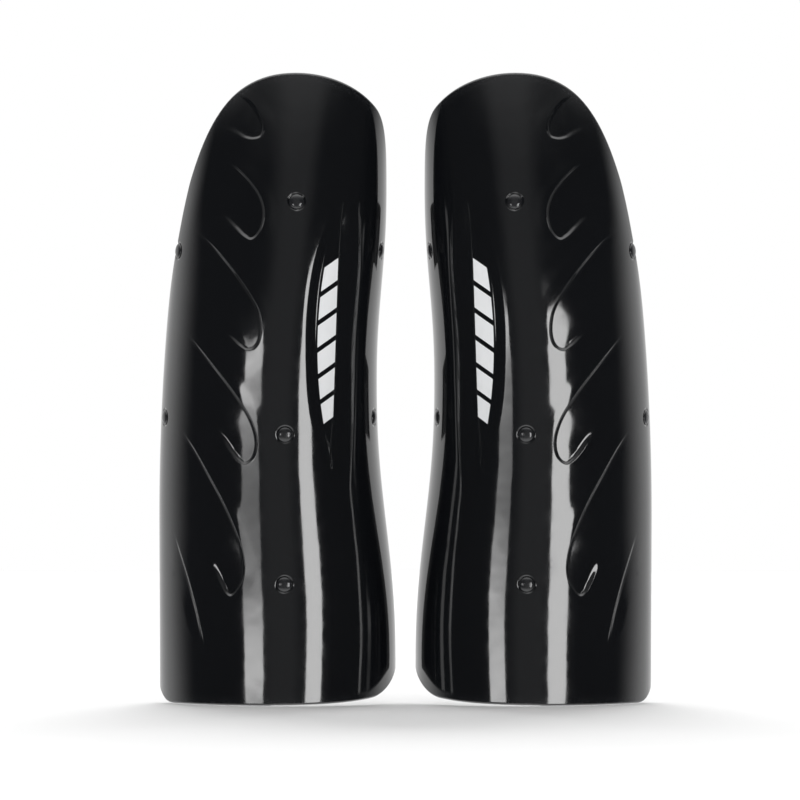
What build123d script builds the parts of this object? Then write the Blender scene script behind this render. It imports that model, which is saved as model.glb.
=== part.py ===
from build123d import *
import os
from math import cos, radians, sin, tan

# Pair of riveted hard-shell shin guards. All sizes are in millimetres.
# Each guard is drawn upright about its own axis: front is -Y, lateral side is -X, the
# back edges lie on y = 0 and z = 0 is the lateral bottom corner. The finished pieces are
# then leaned forward onto the bottom edge, set apart, and mirrored for the other leg.

# --- Shell ---
guard_height = 356.8
lateral_reach = 66.0        # guard axis to the lateral flank, at the ankle
lateral_straight = 100.0    # height up to which the lateral flank is upright
lateral_lean_in = 24.2      # how far it has leaned in at the crown
waist_reach = 56.0          # guard axis to the medial flank, at the waist
ankle_flare = 10.5          # extra medial reach at the ankle
ankle_flare_end = 185.0
ankle_flare_length = 170.0
knee_flare = 5.5            # extra medial reach at the knee
knee_flare_start = 175.0
knee_flare_length = 120.0
shin_depth = 56.0           # back edge to front ridge
ankle_kick = 9.5            # extra depth at the bottom
ankle_kick_end = 120.0
crown_start = 190.0         # height where the front starts to curve back
crown_drop = 28.0           # how far it has curved back at the top
ridge_offset_low = 2.5      # ridge to the medial side of the section's middle
ridge_offset_high = 7.0
shell_wall = 3.0
overrun = 16.0              # forms run past the trimmed ends by this much

# --- Outline ---
front_rise = 7.3            # front bottom edge above the lateral corner
lean_angle = 7.2            # stance: how far a standing guard leans forward
lateral_corner = 9.5
medial_corner = 14.0
corner_proud = 0.6          # how far a corner arc passes outside the flank
back_corner = 12.0
crown_x = 11.5              # top of the crown, from the guard axis
crown_medial_span = 51.0
crown_medial_drop = 40.0
crown_lateral_span = 70.5
crown_lateral_drop = 108.0
crown_lateral_bulge = 14.0
crown_lateral_round = 42.0  # drop at which the lateral curve turns towards the top
crown_flat = 45.0           # how far the crown's top runs level to the lateral side
bottom_bend_x = -2.0        # where the bottom edge turns from the floor to level
bottom_bend_dip = 0.9
lateral_corner_rise = 1.2
edge_setback = 1.0          # back edge of the shell, in front of y = 0
# where the back edges turn forward into the crown: (how far forward, height)
lateral_sweep = [(0, 205), (0, 238), (12, 258), (13, 290)]
medial_sweep = [(0, 285), (0, 312), (8, 322), (15, 337)]

# --- Relief ---
relief_depth = 1.2
claws = [
    # root, bend, belly, tip, heel: (x, z) seen from the front
    [(-37, 315), (-15, 298), (-6, 280), (-11, 266), (-34, 277)],
    [(-46, 271), (-20, 246), (-7.5, 217), (-13, 205), (-36, 219)],
    [(-52, 214), (-24, 183), (-10.5, 155), (-16, 141), (-40, 163)],
    [(-55, 161), (-31, 125), (-18, 80), (-25, 66), (-43, 96)],
]
lens_top = (39.0, 301.0)
lens_bottom = (33.5, 112.0)
lens_belly = (14.5, 215.0)
lens_back = (36.5, 215.0)

# --- Rivets ---
centre_rivets = [(11.8, 287.0), (5.3, 158.0), (4.8, 74.3)]   # (x, z)
strap_heights = {"upper": 255.5, "lower": 162.0}
strap_rivet_setback = 14.0  # in front of the back edges
cap_radius = 4.2
cap_height = 1.6
dimple_radius = 5.2
dimple_depth = 0.5
shank_radius = 2.0
shank_clearance = 0.15
tail_radius = 3.4
tail_height = 1.0
washer_radius = 5.5
washer_thickness = 1.0
washer_lift = 0.45          # flat washer bridging a curved wall

# --- Liner ---
seat_clearance = 0.2
foam_thickness = 6.0
lining_thickness = 0.8
lining_bond = 0.1           # glue line between foam and lining
liner_margin = 8.0          # liner edge inside the shell's ends
liner_setback = 27.0        # liner edge in front of the back edges
binding_width = 4.0
binding_proud = 0.6         # binding stands above the lining

# --- Straps ---
strap_width = 38.0
strap_thickness = 1.8
strap_reach = 34.0          # how far the band bows out behind the back edges
strap_root_length = 23.0
hook_thickness = 1.2
loop_thickness = 1.0
patch_gap = 0.3             # between the hook and the loop patch
patch_inset = 2.0           # patches are narrower than the strap
hinge_gap = 0.3
strap_end_angle = 62.0      # from the middle of the back, towards the medial side
hook_start_angle = 22.0
hook_end_angle = 55.0
tab_end_angle = 16.0
loop_start_angle = 19.0
loop_end_angle = 58.0

# --- Pair ---
guard_spacing = 144.0       # between the two guards' axes


def ease(u):
    """Smooth rise from 0 at u = 0 to 1 at u = 1."""
    u = min(max(u, 0.0), 1.0)
    return u**3 * (10 - 15 * u + 6 * u * u)


def lateral_x(z):
    rise = max(z - lateral_straight, 0) / (guard_height - lateral_straight)
    return -lateral_reach + lateral_lean_in * rise**2


def medial_x(z):
    ankle = ankle_flare * ease((ankle_flare_end - z) / ankle_flare_length)
    knee = knee_flare * ease((z - knee_flare_start) / knee_flare_length)
    return waist_reach + ankle + knee


def section_depth(z):
    kick = ankle_kick * (1 - min(z, ankle_kick_end) / ankle_kick_end)**2
    rise = max(z - crown_start, 0) / (guard_height - crown_start)
    return shin_depth + kick - crown_drop * rise**2.2


def skin_point(angle, z, inset=0.0):
    """Point on the leg form: angle 0 is the front ridge, -90 lateral, 90 medial."""
    turn = radians(angle)
    middle = (lateral_x(z) + medial_x(z)) / 2
    half_width = (medial_x(z) - lateral_x(z)) / 2 - inset
    ridge = ridge_offset_low + (ridge_offset_high - ridge_offset_low) * z / guard_height
    x = middle + half_width * sin(turn) + ridge * cos(turn)**2
    return Vector(x, -(section_depth(z) - inset) * cos(turn), z)


def skin_plane(angle, z, inset=0.0):
    """Plane on the leg form, facing outwards."""
    along = skin_point(angle + 0.5, z) - skin_point(angle - 0.5, z)
    up = skin_point(angle, z + 0.5) - skin_point(angle, z - 0.5)
    outward = along.cross(up).normalized()
    return Plane(skin_point(angle, z) - outward * inset, x_dir=up, z_dir=outward)


def angle_at(z, x=None, y=None):
    """Angle of the point of the section at height z that has this x or y."""
    low, high = (-90.0, 90.0) if y is None else (0.0, 90.0)
    for _ in range(50):
        middle = (low + high) / 2
        point = skin_point(middle, z)
        short = point.X < x if y is None else point.Y < y
        low, high = (middle, high) if short else (low, middle)
    return middle


def leg_form(inset, back=0.0):
    """Solid inside the skin, closed by a flat back."""
    count = 13
    bottom, top = -overrun, guard_height + overrun
    with BuildPart() as form:
        for i in range(count):
            z = bottom + (top - bottom) * i / (count - 1)
            with BuildSketch(Plane.XY.offset(z)):
                with BuildLine():
                    points = [skin_point(angle, z, inset) for angle in range(-90, 91, 15)]
                    flat = [(p.X, p.Y) for p in points]
                    Spline(*flat)
                    Polyline(flat[-1], (flat[-1][0], back), (flat[0][0], back), flat[0])
                make_face()
        loft()
    return form.part


def layer(inset, thickness, back=0.0):
    """Open half-pipe between two depths under the skin."""
    with BuildPart() as pipe:
        add(leg_form(inset, back))
        add(leg_form(inset + thickness, back + overrun), mode=Mode.SUBTRACT)
    return pipe.part


def trim_block(margin=0.0, setback=0.0):
    """Block with the guard's outline, drawn in by margin, and by setback at the back."""
    wide = lateral_reach + overrun
    deep = shin_depth + ankle_kick + overrun
    top = guard_height + overrun
    slope = tan(radians(lean_angle))
    bottom_z = front_rise + margin
    bend_z = bottom_z - bottom_bend_dip
    heel_x = medial_x(0) - margin - medial_corner + corner_proud
    toe_x = lateral_x(0) + margin + lateral_corner - corner_proud
    toe_z = lateral_corner_rise + margin
    crown_z = guard_height - margin
    crown_base = guard_height - crown_medial_drop
    crown_start_x = crown_x - crown_lateral_span + margin
    crown_start_z = guard_height - crown_lateral_drop
    with BuildPart() as block:
        with BuildSketch(Plane.XZ):
            with BuildLine():
                Polyline((crown_x + crown_medial_span - margin, crown_base),
                         (wide, crown_base), (wide, bottom_z + medial_corner),
                         (heel_x + medial_corner, bottom_z + medial_corner))
                CenterArc((heel_x, bottom_z + medial_corner), medial_corner, 0, -90)
                Bezier((heel_x, bottom_z), (crown_x, bottom_z), (bottom_bend_x, bend_z))
                Polyline((bottom_bend_x, bend_z), (bottom_bend_x, -overrun),
                         (toe_x, -overrun), (toe_x, toe_z))
                CenterArc((toe_x, toe_z + lateral_corner), lateral_corner, -90, -90)
                Polyline((toe_x - lateral_corner, toe_z + lateral_corner),
                         (-wide, toe_z + lateral_corner), (-wide, crown_start_z),
                         (crown_start_x, crown_start_z))
                Bezier((crown_start_x, crown_start_z),
                       (crown_start_x + crown_lateral_bulge, guard_height - crown_lateral_round),
                       (crown_x - crown_flat + margin, crown_z), (crown_x, crown_z))
                EllipticalCenterArc((crown_x, crown_base), crown_medial_span - margin,
                                    crown_medial_drop - margin, 0, arc_size=90)
            make_face()
        extrude(amount=deep)
        front_floor = bottom_z + slope * (deep - shin_depth - ankle_kick)
        back_y = -edge_setback - setback
        back_floor = front_floor - slope * (back_y + deep)
        flanks = []
        for side, sweep in ((-1, lateral_sweep), (1, medial_sweep)):
            bend = [(back_y - forward, z) for forward, z in sweep]
            with BuildSketch(Plane.YZ) as flank:
                with BuildLine():
                    Polyline(bend[-1], (bend[-1][0], top), (-deep, top), (-deep, front_floor),
                             (back_y, back_floor), bend[0])
                    Bezier(*bend)
                make_face()
                corners = flank.vertices().filter_by(lambda v: abs(v.X - back_y) < 0.01)
                fillet(corners.sort_by(Axis.Y)[0], back_corner)
            flanks.append(extrude(flank.sketch, amount=side * wide, mode=Mode.PRIVATE))
        add(flanks[0] + flanks[1], mode=Mode.INTERSECT)
    return block.part


def bow(band, levels, angles, bottom, height):
    """Curved band behind the guard, between two offsets from its middle line.
    Angles run from the middle of the back towards the medial side."""
    middle, half_span, reach = band
    start, end = angles
    with BuildPart() as piece:
        with BuildSketch(Plane.XY.offset(bottom)):
            with BuildLine():
                arcs = [EllipticalCenterArc(middle, half_span + level, reach + level, 90 - end,
                                            arc_size=end - start) for level in levels]
                Line(arcs[0] @ 0, arcs[1] @ 0)
                Line(arcs[0] @ 1, arcs[1] @ 1)
            make_face()
        extrude(amount=height)
    return piece.part


def rivet_seats(places, stack):
    """For each (angle, z): the skin's plane, and the depth where its washer sits."""
    return [(skin_plane(angle, z), stack + washer_lift) for angle, z in places]


# Where the rivets pass through the skin
centre_places = [(angle_at(z, x=x), z) for x, z in centre_rivets]
strap_places = [(side * angle_at(z, y=-strap_rivet_setback), z)
                for z in strap_heights.values() for side in (-1, 1)]
strap_stack = shell_wall + seat_clearance + strap_thickness
liner_stack = shell_wall + seat_clearance + foam_thickness + lining_bond + lining_thickness
centre_seats = rivet_seats(centre_places, liner_stack)
strap_seats = rivet_seats(strap_places, strap_stack)

# --- Shell: moulded half-pipe with a crown, claw and lens relief, and riveting dimples ---
with BuildPart() as relief:
    with BuildSketch(Plane.XZ):
        for root, bend, belly, tip, heel in claws:
            with BuildLine():
                Spline(root, bend, belly, tip)
                Bezier(tip, ((tip[0] + heel[0]) / 2, tip[1]), heel)
                Line(heel, root)
            make_face()
        with BuildLine():
            Spline(lens_top, lens_belly, lens_bottom)
            ThreePointArc(lens_bottom, lens_back, lens_top)
        make_face()
    extrude(amount=shin_depth + ankle_kick + overrun)
    add(leg_form(relief_depth), mode=Mode.SUBTRACT)

with BuildPart() as shell:
    add(layer(0, shell_wall))
    add(trim_block(), mode=Mode.INTERSECT)
    add(relief.part, mode=Mode.SUBTRACT)
    for seat, depth in centre_seats + strap_seats:
        with BuildSketch(seat.offset(-dimple_depth)):
            Circle(dimple_radius)
        extrude(amount=dimple_depth + cap_height, mode=Mode.SUBTRACT)
        with BuildSketch(seat.offset(-depth)):
            Circle(shank_radius + shank_clearance)
        extrude(amount=depth, mode=Mode.SUBTRACT)

# --- Liner: foam pad, fabric lining and the binding tape round their edge ---
inner_margin = liner_margin + binding_width
inner_setback = liner_setback + binding_width
inner_outline = trim_block(inner_margin, inner_setback)
binding_depth = foam_thickness + lining_bond + lining_thickness + binding_proud

with BuildPart() as liner_foam:
    add(layer(shell_wall + seat_clearance, foam_thickness))
    add(inner_outline, mode=Mode.INTERSECT)
    for seat, depth in centre_seats:
        with BuildSketch(seat.offset(-depth - foam_thickness)):
            Circle(shank_radius + shank_clearance)
        extrude(amount=depth + foam_thickness, mode=Mode.SUBTRACT)

with BuildPart() as liner_lining:
    add(layer(shell_wall + seat_clearance + foam_thickness + lining_bond, lining_thickness))
    add(inner_outline, mode=Mode.INTERSECT)
    for seat, depth in centre_seats:
        with BuildSketch(seat.offset(-depth - foam_thickness)):
            Circle(shank_radius + shank_clearance)
        extrude(amount=depth + foam_thickness, mode=Mode.SUBTRACT)

with BuildPart() as liner_binding:
    add(layer(shell_wall + seat_clearance, binding_depth))
    add(trim_block(liner_margin, liner_setback), mode=Mode.INTERSECT)
    add(inner_outline, mode=Mode.SUBTRACT)


def rivets(seats):
    """Domed caps in their dimples, each with a shank and a flat tail, as separate solids."""
    with BuildPart() as group:
        for seat, depth in seats:
            tail = -depth - washer_thickness
            cap_rim = cap_height / 4 - dimple_depth
            cap_top = (0, cap_height - dimple_depth)
            with BuildSketch(Plane(seat.origin, x_dir=seat.x_dir, z_dir=-seat.y_dir)):
                with BuildLine():
                    Polyline(cap_top, (0, tail - tail_height), (tail_radius, tail - tail_height),
                             (tail_radius, tail), (shank_radius, tail),
                             (shank_radius, -dimple_depth), (cap_radius, -dimple_depth),
                             (cap_radius, cap_rim))
                    Bezier((cap_radius, cap_rim), (cap_radius * 0.8, cap_top[1]), cap_top)
                make_face()
            revolve(axis=Axis(seat.origin, seat.z_dir))
    return group.part


def washers(seats):
    """Flat washers under the rivets' tails, as separate solids."""
    with BuildPart() as group:
        for seat, depth in seats:
            with BuildSketch(seat.offset(-depth)):
                Circle(washer_radius)
                Circle(shank_radius + shank_clearance, mode=Mode.SUBTRACT)
            extrude(amount=-washer_thickness)
    return group.part


pieces = {
    "shell": shell.part,
    "liner_foam": liner_foam.part,
    "liner_lining": liner_lining.part,
    "liner_binding": liner_binding.part,
    "centre_rivets": rivets(centre_seats),
    "centre_washers": washers(centre_seats),
    "strap_rivets": rivets(strap_seats),
    "strap_washers": washers(strap_seats),
}

# --- Straps: a riveted root and a band that swings on it, closed on a riveted tab ---
strap_inset = shell_wall + seat_clearance
hinge_y = hinge_gap + strap_thickness / 2
tab_step = strap_thickness + hook_thickness + patch_gap + loop_thickness
half_thickness = strap_thickness / 2
flank_layer = layer(strap_inset, strap_thickness)
tab_layer = layer(strap_inset, strap_thickness, back=hinge_y + hinge_gap)


def hinge_point(height):
    """Where a strap's band turns on its root, level with its rivets."""
    edge = skin_point(-90, height, strap_inset + half_thickness)
    return (edge.X, hinge_y)


for place, height in strap_heights.items():
    low_z = height - strap_width / 2
    patch_width = strap_width - 2 * patch_inset
    hinge = hinge_point(height)
    medial = skin_point(90, height, strap_inset + half_thickness).X
    half_span = (medial + tab_step - hinge[0]) / 2
    middle = (hinge[0] + half_span, hinge_y)
    band = (middle, half_span, strap_reach)
    inner_band = (middle, half_span - tab_step, strap_reach - tab_step)

    with BuildPart() as strap_root:
        add(flank_layer)
        with BuildSketch(Plane.XY.offset(low_z)):
            with Locations((hinge[0], -strap_root_length / 2)):
                Rectangle(medial - hinge[0], strap_root_length)
        extrude(amount=strap_width, mode=Mode.INTERSECT)
        for seat, depth in strap_seats:
            with BuildSketch(seat.offset(-depth)):
                Circle(shank_radius + shank_clearance)
            extrude(amount=depth, mode=Mode.SUBTRACT)

    with BuildPart() as strap:
        add(bow(band, (-half_thickness, half_thickness), (-90, strap_end_angle),
                low_z, strap_width))
        with BuildSketch(Plane.XY.offset(low_z)):
            with Locations(hinge):
                Circle(half_thickness)
        extrude(amount=strap_width)

    with BuildPart() as hook_patch:
        add(bow(band, (-half_thickness - hook_thickness, -half_thickness),
                (hook_start_angle, hook_end_angle), low_z + patch_inset, patch_width))

    with BuildPart() as tab:
        add(tab_layer)
        with BuildSketch(Plane.XY.offset(low_z)):
            with Locations((medial, -strap_root_length / 2)):
                Rectangle(medial - hinge[0], strap_root_length + 2 * hinge_y + 2 * hinge_gap)
        extrude(amount=strap_width, mode=Mode.INTERSECT)
        add(bow(inner_band, (-half_thickness, half_thickness), (tab_end_angle, 90),
                low_z, strap_width))
        for seat, depth in strap_seats:
            with BuildSketch(seat.offset(-depth)):
                Circle(shank_radius + shank_clearance)
            extrude(amount=depth, mode=Mode.SUBTRACT)

    with BuildPart() as loop_patch:
        add(bow(inner_band, (half_thickness, half_thickness + loop_thickness),
                (loop_start_angle, loop_end_angle), low_z + patch_inset, patch_width))

    pieces[place + "_strap_root"] = strap_root.part
    pieces[place + "_strap"] = strap.part
    pieces[place + "_hook_patch"] = hook_patch.part
    pieces[place + "_tab"] = tab.part
    pieces[place + "_loop_patch"] = loop_patch.part

# --- Stance: leaned forward on the bottom edge, set beside its mirror image ---
lean = radians(lean_angle)
floor = front_rise * cos(lean) - (shin_depth + ankle_kick) * sin(lean)
leaned = Location((-guard_spacing / 2, 0, -floor), (lean_angle, 0, 0))
boxes = [piece.moved(leaned).bounding_box() for piece in pieces.values()]
middle_y = (min(box.min.Y for box in boxes) + max(box.max.Y for box in boxes)) / 2
stance = Location((-guard_spacing / 2, -middle_y, -floor), (lean_angle, 0, 0))

os.makedirs("parts", exist_ok=True)
for name, piece in pieces.items():
    with BuildPart() as right:
        with Locations(stance):
            add(piece)
    with BuildPart() as left:
        mirror(right.part, about=Plane.YZ)
    for side, guard in (("right", right), ("left", left)):
        guard.part.label = f"{side}_{name}"
        export_step(guard.part, f"parts/{side}_{name}.step")
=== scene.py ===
import math
import bmesh
import bpy
import numpy as np
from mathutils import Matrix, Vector, geometry


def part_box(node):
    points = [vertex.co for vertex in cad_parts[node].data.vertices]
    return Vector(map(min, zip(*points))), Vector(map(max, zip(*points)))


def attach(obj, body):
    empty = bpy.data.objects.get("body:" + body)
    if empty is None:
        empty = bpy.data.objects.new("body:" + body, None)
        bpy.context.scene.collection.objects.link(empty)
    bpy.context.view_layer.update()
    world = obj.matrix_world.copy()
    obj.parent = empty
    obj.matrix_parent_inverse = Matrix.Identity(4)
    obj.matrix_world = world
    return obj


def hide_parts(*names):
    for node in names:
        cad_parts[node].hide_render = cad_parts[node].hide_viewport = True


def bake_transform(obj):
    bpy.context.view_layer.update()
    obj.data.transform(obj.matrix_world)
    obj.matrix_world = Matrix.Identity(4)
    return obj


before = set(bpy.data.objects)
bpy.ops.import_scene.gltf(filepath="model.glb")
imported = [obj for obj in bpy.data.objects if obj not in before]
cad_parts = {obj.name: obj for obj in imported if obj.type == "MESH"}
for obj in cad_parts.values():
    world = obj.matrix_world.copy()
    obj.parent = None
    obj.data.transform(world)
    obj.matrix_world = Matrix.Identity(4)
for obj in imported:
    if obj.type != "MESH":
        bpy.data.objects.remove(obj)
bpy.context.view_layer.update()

# --- Shells ------------------------------------------------------------------------------
# Each shell is a half-pipe of gloss black polypropylene, injection moulded 3 mm thick with
# a rounded edge. Claw-shaped recesses run in from the lateral side, a lens-shaped field
# with a plain bar print lies on the medial side, and seven dished seats take the rivets.

# Every layer of a guard follows one leg-shaped form, drawn upright in millimetres: front
# towards -Y, medial side towards +X, back edges on y = 0, lateral corner on z = 0.
guard_height = 356.8
lateral_reach, lateral_straight, lateral_lean_in = 66.0, 100.0, 24.2
waist_reach = 56.0
ankle_flare, ankle_flare_end, ankle_flare_length = 10.5, 185.0, 170.0
knee_flare, knee_flare_start, knee_flare_length = 5.5, 175.0, 120.0
shin_depth, ankle_kick, ankle_kick_end = 56.0, 9.5, 120.0
crown_start, crown_drop, crown_power = 190.0, 28.0, 2.2
ridge_offset_low, ridge_offset_high = 2.5, 7.0
guard_spacing = 144.0
lean = math.radians(7.2)
front_rise = 7.3
girth = 60.0                # millimetres of skin for each radian of turn


def ease(u):
    """Smooth rise from 0 at u = 0 to 1 at u = 1."""
    u = np.clip(u, 0, 1)
    return u**3 * (10 - 15 * u + 6 * u * u)


def flank_reach(z):
    """Lateral and medial x of the form's section at height z."""
    rise = np.maximum(z - lateral_straight, 0) / (guard_height - lateral_straight)
    ankle = ankle_flare * ease((ankle_flare_end - z) / ankle_flare_length)
    knee = knee_flare * ease((z - knee_flare_start) / knee_flare_length)
    return -lateral_reach + lateral_lean_in * rise**2, waist_reach + ankle + knee


def form_depth(z):
    """How far the form's ridge stands in front of the back edges at height z."""
    kick = ankle_kick * (1 - np.minimum(z, ankle_kick_end) / ankle_kick_end)**2
    rise = np.maximum(z - crown_start, 0) / (guard_height - crown_start)
    return shin_depth + kick - crown_drop * rise**crown_power


def form_point(spot, inset=0.0):
    """Points on the form, or inset under it. A spot is (skin length round the leg, height)."""
    turn, z = spot[..., 0] / girth, spot[..., 1]
    lateral, medial = flank_reach(z)
    ridge = ridge_offset_low + (ridge_offset_high - ridge_offset_low) * z / guard_height
    half = (medial - lateral) / 2 - inset
    x = (lateral + medial) / 2 + half * np.sin(turn) + ridge * np.cos(turn)**2
    return np.stack((x, -(form_depth(z) - inset) * np.cos(turn), z), -1)


def facing(surface, spot, step=0.1):
    """Unit normals of a surface given as a function of spots."""
    across, up = np.array([step, 0]), np.array([0, step])
    along = surface(spot + across) - surface(spot - across)
    rising = surface(spot + up) - surface(spot - up)
    normal = np.cross(along, rising)
    return normal / np.linalg.norm(normal, axis=-1, keepdims=True)


def spot_at(x, z, low=-90.0, high=90.0):
    """Spots whose front view is (x, z)."""
    x, z = np.broadcast_arrays(np.asarray(x, float), np.asarray(z, float))
    low = np.full(x.shape, math.radians(low) * girth)
    high = np.full(x.shape, math.radians(high) * girth)
    for _ in range(40):
        middle = (low + high) / 2
        short = form_point(np.stack((middle, z), -1))[..., 0] < x
        low, high = np.where(short, middle, low), np.where(short, high, middle)
    return np.stack(((low + high) / 2, z), -1)


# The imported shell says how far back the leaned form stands.
front = form_point(np.stack(np.meshgrid(np.linspace(-40, 40, 161), np.arange(guard_height)), -1))
front_y = (front[..., 1] * math.cos(lean) - front[..., 2] * math.sin(lean)).min()
stand_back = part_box("right_shell")[0].y * 1000 - front_y
stand_up = -front_rise * math.cos(lean) + (shin_depth + ankle_kick) * math.sin(lean)


def stand(points, hand=1):
    """Form millimetres to the shared frame's metres; hand 1 is the right guard, -1 the left."""
    x, y, z = np.moveaxis(np.asarray(points, float), -1, 0)
    leaned = (hand * (x - guard_spacing / 2),
              y * math.cos(lean) - z * math.sin(lean) + stand_back,
              y * math.sin(lean) + z * math.cos(lean) + stand_up)
    return np.stack(leaned, -1) / 1000


hands = (("right", 1), ("left", -1))


def make_piece(name, points, faces, hand, finish, normals=None, plan=None, marks=None):
    """Smooth mesh piece from form millimetres; plan is its flat pattern, in millimetres."""
    mesh = bpy.data.meshes.new(name)
    corners = [face if hand > 0 else face[::-1] for face in faces]
    mesh.from_pydata(stand(points, hand).tolist(), [], corners)
    mesh.materials.append(finish)
    mesh.polygons.foreach_set("use_smooth", [True] * len(mesh.polygons))
    order = np.zeros(len(mesh.loops), int)
    mesh.loops.foreach_get("vertex_index", order)
    if plan is not None:
        layer = mesh.uv_layers.new(name="plan")
        layer.data.foreach_set("uv", np.asarray(plan, float)[order].ravel())
    for mark, values in (marks or {}).items():
        mesh.attributes.new(mark, "FLOAT", "POINT").data.foreach_set("value", values)
    mesh.update()
    if normals is not None:
        turned = stand(normals, hand) - stand(np.zeros((1, 3)), hand)
        turned /= np.linalg.norm(turned, axis=1, keepdims=True)
        mesh.normals_split_custom_set_from_vertices(turned.tolist())
    piece = bpy.data.objects.new(name, mesh)
    bpy.context.scene.collection.objects.link(piece)
    return piece


# Outline, relief and rivet seats, as (x, z) seen from the front.
shell_wall = 3.0
overrun = 16.0
lateral_corner, medial_corner, corner_proud, back_corner = 9.5, 14.0, 0.6, 12.0
crown_x, crown_medial_span, crown_medial_drop = 11.5, 51.0, 40.0
crown_lateral_span, crown_lateral_drop = 70.5, 108.0
crown_lateral_bulge, crown_lateral_round, crown_flat = 14.0, 42.0, 45.0
bottom_bend_x, bottom_bend_dip, lateral_corner_rise, edge_setback = -2.0, 0.9, 1.2, 1.0
lateral_sweep = [(0, 205), (0, 238), (12, 258), (13, 290)]
medial_sweep = [(0, 285), (0, 312), (8, 322), (15, 337)]
edge_blend = 2.0            # softening where the front and side outlines cross
side_blend = 36.0           # width over which one side outline gives way to the other
edge_step, skin_step, inner_step = 1.5, 2.3, 4.5    # spacing of the mesh's points
claw_step, claw_width, claw_opening, claw_fade = 0.8, 1.8, 0.17, 28.0
shoulder_height, shoulder_width = 0.2, 9.0
shoulder_root, shoulder_root_fade, shoulder_tip, shoulder_tip_fade = 4.0, 26.0, 2.0, 16.0
claws = [
    # depth, fade at the tip, crisp edge from root to tip, soft edge on towards the back
    (0.8, 0.1, [(-24, 347), (-14.5, 341), (-9, 334), (-6.2, 327.5), (-7.6, 321.8), (-12, 320)],
     [(-17, 320.2), (-23.3, 322.8), (-33, 325)]),
    (1.2, 0.1, [(-35, 315.8), (-26.9, 309.2), (-18.8, 302.6), (-12.5, 296), (-8.2, 289.5),
                (-6, 282), (-6.8, 274.2), (-9.6, 268.2), (-13.6, 265.4)],
     [(-18, 267), (-23, 270.8), (-28.7, 275), (-39, 280)]),
    (1.3, 0.1, [(-47, 271), (-35.8, 262.2), (-25.1, 250.9), (-16.1, 239.1), (-9.8, 228.3),
                (-7.8, 219), (-8.5, 211), (-11.4, 205.9), (-15.8, 204.3)],
     [(-20.5, 206.6), (-26, 210.4), (-39, 219)]),
    (1.3, 0.1, [(-52.4, 215.3), (-40.3, 201.9), (-28.7, 188.4), (-20.6, 177.6), (-14.3, 167.6),
                (-10.8, 158), (-10.4, 150), (-12.8, 143.5), (-17.2, 140.8)],
     [(-21.5, 142.8), (-26, 147), (-32.2, 154.3), (-43, 164.5)]),
    (1.3, 0.1, [(-56, 162), (-45.7, 148), (-37.6, 134.6), (-30.5, 122), (-24.2, 108.6),
                (-19.2, 95), (-17.4, 84), (-18.6, 75.5), (-21.6, 69.5), (-25.3, 66.6)],
     [(-28.6, 68.2), (-32, 73.4), (-36.5, 81.5), (-44, 96)]),
    (0.9, 30, [(-59, 104.5), (-53.5, 88), (-48.6, 73), (-43.4, 54), (-39.6, 34)],
     [(-45, 41), (-51, 52), (-57, 72)]),
]
crown_swell, swell_run, swell_fade = 1.2, 10.0, 22.0
swell_side, swell_side_fade, swell_foot, swell_foot_fade = -8.0, 18.0, 255.0, 30.0
lens_depth, lens_front_run, lens_back_run = 2.2, 11.0, 16.0
lens_front = [(39.5, 302), (31, 284.5), (24.5, 270), (19, 252.6), (15.6, 229), (15, 204),
              (16.8, 178), (21, 158), (26, 140), (31, 122), (36.5, 106)]
lens_back = [(36.5, 106), (44, 138), (49.5, 180), (51.5, 225), (49, 270), (39.5, 302)]
field_height, field_front_run, field_back_run = 0.3, 1.8, 0.9
field_front = [(38.3, 290), (33, 277.5), (28, 262), (24, 243), (22, 220), (21.6, 200),
               (22.8, 180), (25.6, 160), (30.8, 137)]
field_back = [(30.8, 137), (33.4, 168), (35.2, 205), (36.4, 248), (38.3, 290)]
crease_depth, crease_run, crease_fade = 0.14, 3.0, 25.0
crease = [(36.5, 106), (38.6, 88), (38, 64), (40.6, 40), (42, 14)]
centre_rivets = [(11.8, 287.0), (5.3, 158.0), (4.8, 74.3)]
strap_heights = {"upper": 255.5, "lower": 162.0}
strap_rivet_setback = 14.0
seat_radius, seat_lip, seat_depth = 4.3, 0.95, 0.5
print_front, print_back, print_middle, print_bow, print_rake = 23.9, 34.2, 205.0, 0.0019, 0.03
bar_foot, bar_pitch, bar_slant, bar_gap, bar_count = (29.0, 161.0), 15.0, 0.62, 0.2, 6

# The skin's points follow its features in rows: how far beside each, and their least gap.
claw_rows = (0, -0.45, -0.9, -1.35, -1.8, 0.6, -2.5, 1.5), 0.44
claw_tip_rows = (-3.3, -4.2, -5.2, -6.4), 0.7
field_rows = (0, 0.55, -0.55, 1.1, -1.1, 1.7, -1.7), 0.5
crease_rows = (0, 0.9, -0.9, 2.2, -2.2), 0.7
lens_rows = (0, 1.6, 3.2, 4.8, 6.4, 8, 9.6, 11.2, -1.6), 1.2
seat_rings, seat_gap = (1.5, 3.0, 4.0, 4.3, 4.55, 4.8, 5.05, 5.3, 5.8), 0.35
skin_gap, rim_gap, wear_run = 0.62, 0.7, 5.0


def trace(points, step=1.0):
    """Even run of points on a smooth curve through the given ones."""
    given = np.array(points, float)
    ends = np.vstack((2 * given[0] - given[1], given, 2 * given[-1] - given[-2]))
    t = np.linspace(0, 1, 24, endpoint=False)[:, None]
    runs = [b + ((c - a) * t + (2 * a - 5 * b + 4 * c - d) * t**2
                 + (3 * b - a - 3 * c + d) * t**3) / 2
            for a, b, c, d in zip(ends, ends[1:], ends[2:], ends[3:])]
    return even_run(np.vstack(runs + [given[-1:]]), step)


def lengths(path):
    """Length from a path's start to each of its points."""
    return np.concatenate(([0], np.cumsum(np.linalg.norm(np.diff(path, axis=0), axis=1))))


def at_lengths(path, length, wanted):
    """Points of a path at the wanted lengths."""
    return np.stack([np.interp(wanted, length, axis) for axis in path.T], 1)


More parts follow.
